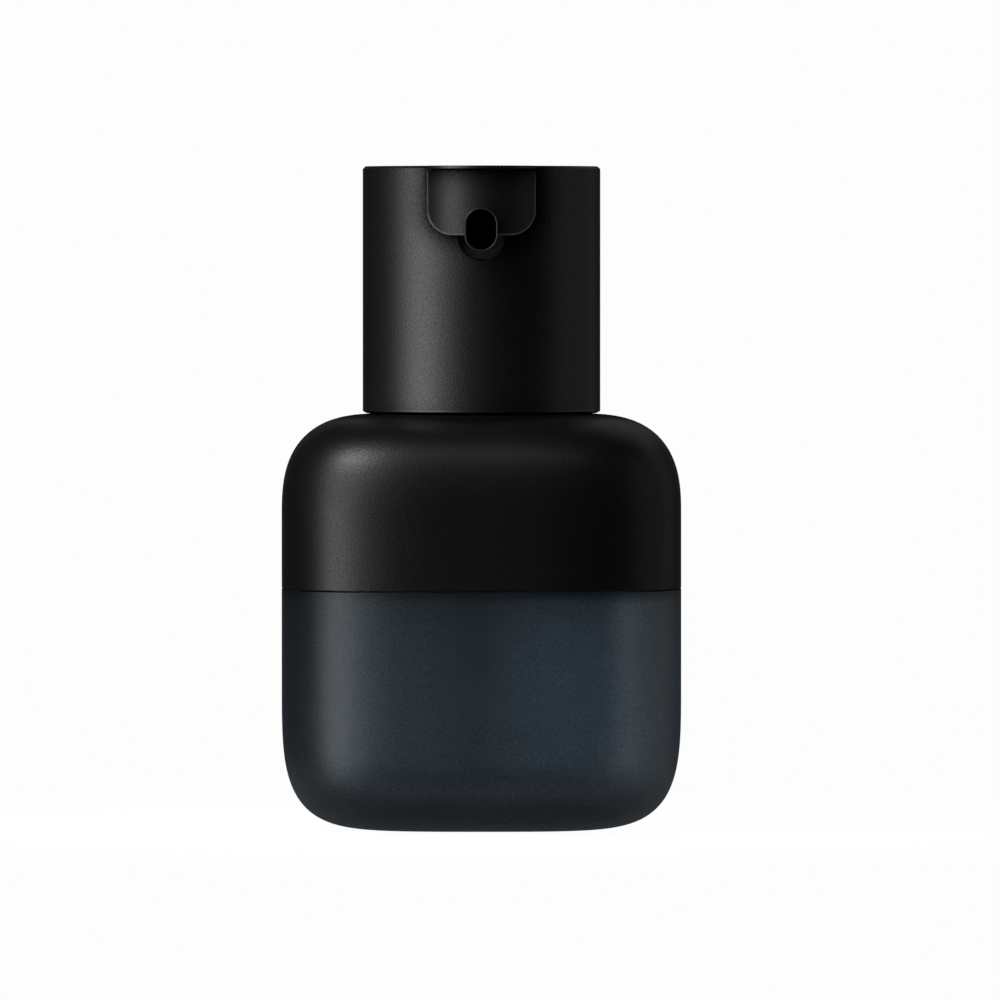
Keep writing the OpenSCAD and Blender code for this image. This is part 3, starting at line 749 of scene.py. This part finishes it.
def lighter(rgb, factor):
    """Colour times a factor, with its alpha kept."""
    return (*[min(1, channel * factor) for channel in rgb[:3]], rgb[3])


def surface(tree, inputs, **inside):
    """Principled shader with these inputs on the material's output, with what fills the inside."""
    shader = tree.node("ShaderNodeBsdfPrincipled", inputs=inputs)
    tree.node("ShaderNodeOutputMaterial", inputs={"Surface": shader, **inside})


def grain_bump(tree, height, strength, depth):
    """Normal of a fine relief of a given depth."""
    return tree.node("ShaderNodeBump", inputs={"Height": height, "Strength": strength, "Distance": depth})


def stipple(tree, grain):
    """Even dots with soft edges: a grain with its contrast raised."""
    return step_up(tree, grain, DOT_LOW, DOT_HIGH)


def matte_black(tree, finishes, sheen):
    """Inputs of soft matte black: fine grain with dull pits, faint clouds in colour and gloss."""
    grain = noise(tree, finishes.grain, 1)
    clouds = noise(tree, BLACK_CLOUDS, 3)
    return {
        "Base Color": blend(tree, clouds, finishes.shell, lighter(finishes.shell, 1.5)),
        "Roughness": 0.335 + 0.05 * clouds + 0.08 * grain,
        "Metallic": PIT_DULL * stipple(tree, grain),
        "Specular IOR Level": sheen,
        "Normal": grain_bump(tree, grain, 0.6, 0.03 * MM),
    }


def pad_finish(finishes):
    """Matte black all over."""
    material, tree = new_material("matte_pad")
    surface(tree, matte_black(tree, finishes, finishes.sleeve_sheen))
    return material


def from_nose(tree, head):
    """Distance in the front view from the outline of the nose, negative inside it.

    Where the place lies past the side and past the foot of the square that the round corner
    starts from, it is the length of both, less the corner.
    """
    side, height = [coordinate(tree, axis) for axis in "XZ"]
    beside = tree.math("ABSOLUTE", side) - (NOSE_HIGH.x - head.corner)
    below = (NOSE_LOW.z + head.corner) - height
    past_side, past_foot = [tree.math("MAXIMUM", way, 0) for way in (beside, below)]
    outside = tree.math("SQRT", past_side * past_side + past_foot * past_foot)
    return outside + tree.math("MINIMUM", tree.math("MAXIMUM", beside, below), 0) - head.corner


def shoulder_finish(finishes, body):
    """Matte black with painted contact shade: it loses its sheen softly towards the foot of the sleeve."""
    material, tree = new_material("matte_shoulder")
    side, depth = [coordinate(tree, axis) for axis in "XY"]
    reach = tree.math("SQRT", side * side + depth * depth)
    foot = SLEEVE_HIGH.x
    # Painted contact shade: metal and roughness take the sheen away near the foot of the sleeve
    near = step_up(tree, reach, foot + body.contact_shade_reach, foot + 0.4 * body.contact_shade_reach)
    inputs = matte_black(tree, finishes, finishes.shoulder_sheen)
    inputs["Metallic"] = inputs["Metallic"] + CONTACT_SHADE_DULL * near
    inputs["Roughness"] = inputs["Roughness"] + 0.35 * near
    surface(tree, inputs)
    return material


def sleeve_finish(finishes, sleeve, head):
    """Matte black with a painted highlight along its lower edge and painted shade that darkens it softly towards
    the nose.
    """
    material, tree = new_material("matte_sleeve")
    # Painted shade: the sleeve loses its sheen near the nose, like a soft shadow
    front = step_up(tree, coordinate(tree, "Y"), NOSE_SHADE_BACK, NOSE_SHADE_FRONT)
    near = front * fading(tree, from_nose(tree, head), head.nose_shade_reach)
    # Painted highlight: a coat adds sheen on a band along the lower edge
    skirt = SLEEVE_LOW.z + sleeve.skirt_height
    painted_highlight = step_up(tree, coordinate(tree, "Z"), skirt + sleeve.highlight_band, skirt + 0.4 * sleeve.highlight_band)
    inputs = matte_black(tree, finishes, finishes.sleeve_sheen)
    inputs["Metallic"] = inputs["Metallic"] + NOSE_SHADE_DULL * near
    inputs["Coat Weight"] = painted_highlight
    inputs["Coat Roughness"] = 0.35
    surface(tree, inputs)
    return material


def nose_finish(finishes, head):
    """Matte black with a broad sheen, painted shade towards the tongue, and a pale line on the bead as a painted
    highlight.
    """
    material, tree = new_material("matte_nose")
    # Painted shade: the nose loses its sheen towards the tongue, like the tongue's shadow
    tongue_shade = fading(tree, NOSE_HIGH.z - coordinate(tree, "Z"), head.tongue_shade_reach)
    inputs = matte_black(tree, finishes, finishes.nose_sheen)
    inputs["Roughness"] = inputs["Roughness"] + 0.1
    inputs["Metallic"] = inputs["Metallic"] + CONTACT_SHADE_DULL * tongue_shade
    # Painted highlight: a pale line in the colour along the bead
    line = step_up(tree, from_nose(tree, head), -2.2 * head.bead, -0.8 * head.bead)
    inputs["Base Color"] = blend(tree, line, inputs["Base Color"], finishes.edge)
    surface(tree, inputs)
    return material


def polished_mouth(finishes, head):
    """Polished black rim of the mouth with faint moulding ripples, with painted shade on the inside: black, metal
    and rough.
    """
    material, tree = new_material("polished_mouth")
    ripple = noise(tree, 900, 2)
    rim = head.rim_depth
    # Painted shade: the inside of the mouth is made black, metal and rough so that the hole stays dark
    inside = step_up(tree, coordinate(tree, "Y"), TIP_LOW.y + rim, TIP_LOW.y + 5 * rim)
    surface(tree, {
        "Base Color": blend(tree, inside, lighter(finishes.gloss, 1.6), lighter(finishes.gloss, 0.3)),
        "Metallic": inside,
        "Roughness": 0.42 + 0.06 * ripple + 0.5 * inside,
        "Specular IOR Level": 1.0,
        "Normal": grain_bump(tree, ripple, 0.1, 0.01 * MM),
    })
    return material


def moulded_resin(finishes):
    """Plain moulded black with a slight flow pattern along the axis."""
    material, tree = new_material("moulded_resin")
    flow = noise(tree, 600, 3, (1, 1, 0.2))
    surface(tree, {
        "Base Color": blend(tree, flow, finishes.resin, lighter(finishes.resin, 1.5)),
        "Roughness": 0.42 + 0.14 * flow,
        "Normal": grain_bump(tree, flow, 0.2, 0.02 * MM),
    })
    return material


def milky_resin(finishes):
    """Natural resin of the pump, milky with faint clouds."""
    material, tree = new_material("milky_resin")
    clouds = noise(tree, 350, 3)
    surface(tree, {
        "Base Color": blend(tree, clouds, lighter(finishes.natural, 0.86), finishes.natural),
        "Roughness": 0.3 + 0.15 * clouds,
        "Normal": grain_bump(tree, clouds, 0.1, 0.02 * MM),
    })
    return material


def seal_rubber(finishes):
    """Soft dark seal with a dusty speckle."""
    material, tree = new_material("seal_rubber")
    dust = noise(tree, 2600, 3)
    surface(tree, {
        "Base Color": blend(tree, dust, finishes.seal, lighter(finishes.seal, 1.7)),
        "Roughness": 0.7 + 0.15 * dust,
        "Normal": grain_bump(tree, dust, 0.3, 0.02 * MM),
    })
    return material


def drawn_steel(finishes):
    """Steel with fine drawing lines around the axis."""
    material, tree = new_material("drawn_steel")
    lines = noise(tree, 1500, 2, (1, 1, 6))
    surface(tree, {
        "Base Color": blend(tree, lines, lighter(finishes.steel, 0.8), finishes.steel),
        "Metallic": 1.0,
        "Roughness": 0.22 + 0.16 * lines,
        "Normal": grain_bump(tree, lines, 0.1, 0.01 * MM),
    })
    return material


def frosted_glass(finishes, body):
    """Acid-frosted navy glass with a fine etch, darker where it is thick, with painted shade below the seam."""
    material, tree = new_material("frosted_glass")
    etch = noise(tree, finishes.etch, 1)
    clouds = noise(tree, GLASS_CLOUDS, 3)
    tint = tree.node("ShaderNodeVolumeAbsorption", inputs={
        "Color": finishes.glass_depth, "Density": finishes.glass_density})
    etched = blend(tree, 0.3 * clouds + 0.7 * stipple(tree, etch),
                   lighter(finishes.glass, 0.5), lighter(finishes.glass, 1.5))
    # Painted shade: darker colour just below the seam
    seam = step_up(tree, coordinate(tree, "Z"), COVER_LOW.z - body.seam_shade, COVER_LOW.z)
    surface(tree, {
        "Base Color": blend(tree, seam, etched, lighter(finishes.glass, 0.2)),
        "Roughness": 0.36 + 0.05 * clouds + 0.04 * etch,
        "Specular Tint": finishes.glass_sheen,
        "Transmission Weight": 1.0,
        "IOR": finishes.glass_ior,
        "Normal": grain_bump(tree, etch, 1.0, 0.03 * MM),
    }, Volume=tint)
    return material


# Operators, one for each piece or group of like pieces

class BOTTLE_OT_glass(bpy.types.Operator):
    """Build the frosted glass with its neck, thread and cavity"""

    bl_idname = "bottle.glass"
    bl_label = "Glass"

    def execute(self, context):
        settings = context.scene.foundation_bottle
        profile = glass_profile(settings.body, settings.glass)
        shells = [grid_shell(around(profile, settings.body.columns), close_columns=True),
                  neck_thread(settings.glass)]
        new_piece("frosted_body", shells, "bottle", "glass_bottle",
                  frosted_glass(settings.finishes, settings.body), settings.glass.edge)
        return {"FINISHED"}


class BOTTLE_OT_shells(bpy.types.Operator):
    """Build the matte black shoulder cover and the sleeve around the pump"""

    bl_idname = "bottle.shells"
    bl_label = "Shoulder cover and sleeve"

    def execute(self, context):
        settings = context.scene.foundation_bottle
        body, sleeve = settings.body, settings.sleeve
        cover = grid_shell(around(cover_profile(body), body.columns), close_rows=True, close_columns=True)
        new_piece("black_shoulder", [cover], "bottle", "shoulder_cover",
                  shoulder_finish(settings.finishes, body), sleeve.edge)
        new_piece("black_sleeve", [sleeve_shell(sleeve)], "head", "shroud",
                  sleeve_finish(settings.finishes, sleeve, settings.head), sleeve.edge)
        return {"FINISHED"}


class BOTTLE_OT_head(bpy.types.Operator):
    """Build the finger pad, the nose and the mouth"""

    bl_idname = "bottle.head"
    bl_label = "Finger pad, nose and mouth"

    def execute(self, context):
        settings = context.scene.foundation_bottle
        head, finishes = settings.head, settings.finishes
        split = PAD_HIGH.z - head.tongue
        upper = slab(pad_outline(head, True), split, PAD_HIGH.z)
        lower = slab(pad_outline(head, False), PAD_LOW.z, split)
        new_piece("press_pad", [upper, lower], "plunger", "finger_pad",
                  pad_finish(finishes), head.pad_bevel)
        new_piece("nose", [nose_shell(head), *bead_shells(head)], "plunger", "nozzle_nose",
                  nose_finish(finishes, head), head.nose_edge)
        new_piece("mouth", [tip_shell(head)], "plunger", "nozzle_tip",
                  polished_mouth(finishes, head), head.tip_edge)
        return {"FINISHED"}


class BOTTLE_OT_pump(bpy.types.Operator):
    """Build the spring and give the pump's CAD pieces their finishes"""

    bl_idname = "bottle.pump"
    bl_label = "Pump"

    def execute(self, context):
        settings = context.scene.foundation_bottle
        finishes = settings.finishes
        finish_of = {
            "black_resin": moulded_resin(finishes),
            "natural_resin": milky_resin(finishes),
            "seal_rubber": seal_rubber(finishes),
            "spring_steel": drawn_steel(finishes),
        }
        spring = new_piece("return_spring", [spring_shell(settings.spring)], "pump_body", "pump_spring",
                           finish_of["spring_steel"])
        travel = next(j for j in frame["joints"] if j["name"] == "actuator_press")["range_m"][1]
        rest = SPRING_HIGH.z - SPRING_LOW.z
        (rest - travel) / rest
        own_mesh(spring)
        for part in frame["record"]["subparts"]:
            if part["material_slot"] in finish_of and part["node"] != "pump_spring":
                slots = frame["nodes"][part["node"]].data.materials
                slots.clear()
                slots.append(finish_of[part["material_slot"]])
        return {"FINISHED"}


class BOTTLE_OT_stage(bpy.types.Operator):
    """Set up the floor, the surroundings, the lamps and the camera"""

    bl_idname = "bottle.stage"
    bl_label = "Stage"

    def execute(self, context):
        settings = context.scene.foundation_bottle
        pale_floor(settings)
        dark_tent(settings)
        white_surroundings(settings.studio)
        soft_lamps(settings.studio)
        photo_camera(settings.studio)
        context.scene.view_settings.view_transform = "Standard"
        return {"FINISHED"}


# Floor, surroundings, lamps and camera of the stage

def stage_sheet(name, profile, material):
    """Sheet of the stage: a profile of (radius, height) rows around the axis."""
    points, faces = grid_shell(around(with_power(profile, 2), 96), close_columns=True)
    mesh = bpy.data.meshes.new(name)
    mesh.from_pydata(points.tolist(), [], faces)
    mesh.materials.append(material)
    sheet = bpy.data.objects.new(name, mesh)
    bpy.context.collection.objects.link(sheet)
    return sheet


def pale_floor(settings):
    """Pale floor that keeps the bottle's shadow and thins out towards the white background.

    It is a thin veil, lifted to white for the picture and for what the bottle reflects or lets through.
    """
    studio, radius = settings.studio, settings.studio.floor_radius
    material, tree = new_material("pale_floor")
    place = tree.node("ShaderNodeTexCoord", output="Object")
    reach = tree.node("ShaderNodeVectorMath", {"operation": "LENGTH"}, {0: place}, output="Value")
    rays = ("Is Camera Ray", "Is Glossy Ray", "Is Transmission Ray")
    camera, glossy, through = [tree.node("ShaderNodeLightPath", output=ray) for ray in rays]
    seen = 1 - (1 - camera) * (1 - glossy) * (1 - through)
    paint = tree.node("ShaderNodeBsdfDiffuse", inputs={"Color": settings.finishes.floor})
    lift = tree.node("ShaderNodeEmission", inputs={"Strength": studio.floor_white * seen})
    lit = tree.node("ShaderNodeAddShader", inputs={0: paint, 1: lift})
    clear = tree.node("ShaderNodeBsdfTransparent")
    thick = studio.floor_veil * step_up(tree, reach, radius, studio.floor_core)
    mixed = tree.node("ShaderNodeMixShader", inputs={0: thick, 1: clear, 2: lit})
    tree.node("ShaderNodeOutputMaterial", inputs={"Surface": mixed})
    under = 0.02 * MM
    stage_sheet("floor", straight((0, -under), (radius, -under), 16), material)


def dark_tent(settings):
    """Dark cloth around the set, out of the picture, which the black shells reflect."""
    cloth = settings.finishes.cloth
    material, tree = new_material("dark_cloth")
    weave = noise(tree, 300, 2)
    shade = blend(tree, weave, lighter(cloth, 0.75), lighter(cloth, 1.25))
    matte = tree.node("ShaderNodeBsdfDiffuse", inputs={"Color": shade})
    tree.node("ShaderNodeOutputMaterial", inputs={"Surface": matte})
    tent = stage_sheet("dark_tent", arc((0, 0), settings.studio.tent_radius, -90, 90, 48), material)
    tent.visible_camera = False


def white_surroundings(studio):
    """White world, which is the background of the picture."""
    world = bpy.data.worlds.new("white_room")
    world.use_nodes = True
    world.node_tree.nodes.clear()
    tree = Wire(world.node_tree)
    glow = tree.node("ShaderNodeBackground", inputs={"Color": (1, 1, 1, 1), "Strength": studio.white})
    tree.node("ShaderNodeOutputWorld", inputs={"Surface": glow})
    bpy.context.scene.world = world


def soft_lamp(name, azimuth, elevation, size, power, glossy=True, through=True):
    """Area lamp that faces the middle of the bottle, at an azimuth to the right of the camera.

    It can be kept out of reflections and of what shines through the glass.
    """
    aim = Vector((0, 0, CAD_BOX[1][2] / 2))
    turn, rise = math.radians(azimuth), math.radians(elevation)
    way = Vector((math.sin(turn) * math.cos(rise), -math.cos(turn) * math.cos(rise), math.sin(rise)))
    lamp = bpy.data.lights.new(name, "AREA")
    lamp.shape = "RECTANGLE"
    lamp.size, lamp.size_y = size
    lamp.energy = power
    item = bpy.data.objects.new(name, lamp)
    item.location = aim + LAMP_DISTANCE * way
    item.rotation_euler = (-way).to_track_quat("-Z", "Y").to_euler()
    item.visible_camera = False
    item.visible_glossy = glossy
    item.visible_transmission = through
    bpy.context.collection.objects.link(item)


def soft_lamps(studio):
    """Strip at the left with its ends, weak lamps above, right and behind, a matte fill and the glows."""
    soft_lamp("key_strip", -62, 12, (0.4, 0.75), studio.key_power)
    soft_lamp("key_top", -62, 46, (0.25, 0.2), studio.top_power)
    soft_lamp("top_front", -12, 56, (0.6, 0.2), studio.front_power)
    soft_lamp("key_low", -62, -15, (0.25, 0.2), studio.low_power)
    soft_lamp("key_wide", -48, 20, (0.5, 0.5), studio.wide_power)
    soft_lamp("side_strip", 92, 10, (0.45, 0.6), studio.side_power)
    soft_lamp("rim", 131, 12, (0.25, 0.5), studio.rim_power)
    soft_lamp("back", 180, 6, (0.4, 0.4), studio.back_power)
    soft_lamp("back_high", 165, 40, (0.5, 0.4), studio.back_high_power, through=False)
    soft_lamp("fill_right", 70, 8, (0.4, 0.5), studio.fill_power, glossy=False, through=False)
    soft_lamp("glow_right", 100, 0, (0.3, 0.6), studio.glow_power, glossy=False)
    soft_lamp("glow_corner", 155, -6, (0.4, 0.4), studio.glow_corner_power, glossy=False)
    soft_lamp("glow_back", 180, 5, (0.3, 0.5), studio.glow_back_power, glossy=False)


def photo_camera(studio):
    """Long lens at the photograph's height and distance, aimed at the middle of its picture."""
    camera = bpy.data.cameras.new("camera")
    item = bpy.data.objects.new("camera", camera)
    item.location = (studio.aim_side, -studio.distance, studio.height)
    aim = Vector((studio.aim_side, 0, studio.aim_height)) - item.location
    item.rotation_euler = aim.to_track_quat("-Z", "Y").to_euler()
    camera.sensor_width = 36
    camera.lens = camera.sensor_width * aim.length / studio.width
    camera.clip_start, camera.clip_end = 0.01, 50
    bpy.context.collection.objects.link(item)
    bpy.context.scene.camera = item


# Panel, registration and the run

class BOTTLE_PT_panel(bpy.types.Panel):
    """Builders of the bottle"""

    bl_idname = "BOTTLE_PT_panel"
    bl_label = "Foundation bottle"
    bl_space_type = "VIEW_3D"
    bl_region_type = "UI"
    bl_category = "Bottle"

    def draw(self, context):
        for builder in BUILDERS:
            self.layout.operator(builder.bl_idname)


BUILDERS = (BOTTLE_OT_glass, BOTTLE_OT_shells, BOTTLE_OT_head, BOTTLE_OT_pump, BOTTLE_OT_stage)
CLASSES = (BodyShape, GlassShape, SleeveShape, HeadShape, SpringShape, Finishes, Studio,
           BottleSettings, *BUILDERS, BOTTLE_PT_panel)


def register():
    """Add the classes and the scene's settings."""
    for item in CLASSES:
        bpy.utils.register_class(item)
    bpy.types.Scene.foundation_bottle = PointerProperty(type=BottleSettings)


def unregister():
    """Remove the scene's settings and the classes."""
    del bpy.types.Scene.foundation_bottle
    for item in reversed(CLASSES):
        bpy.utils.unregister_class(item)


def main():
    """Build every piece and the stage."""
    register()
    bpy.ops.bottle.glass()
    bpy.ops.bottle.shells()
    bpy.ops.bottle.head()
    bpy.ops.bottle.pump()
    bpy.ops.bottle.stage()


if __name__ == "__main__":
    main()
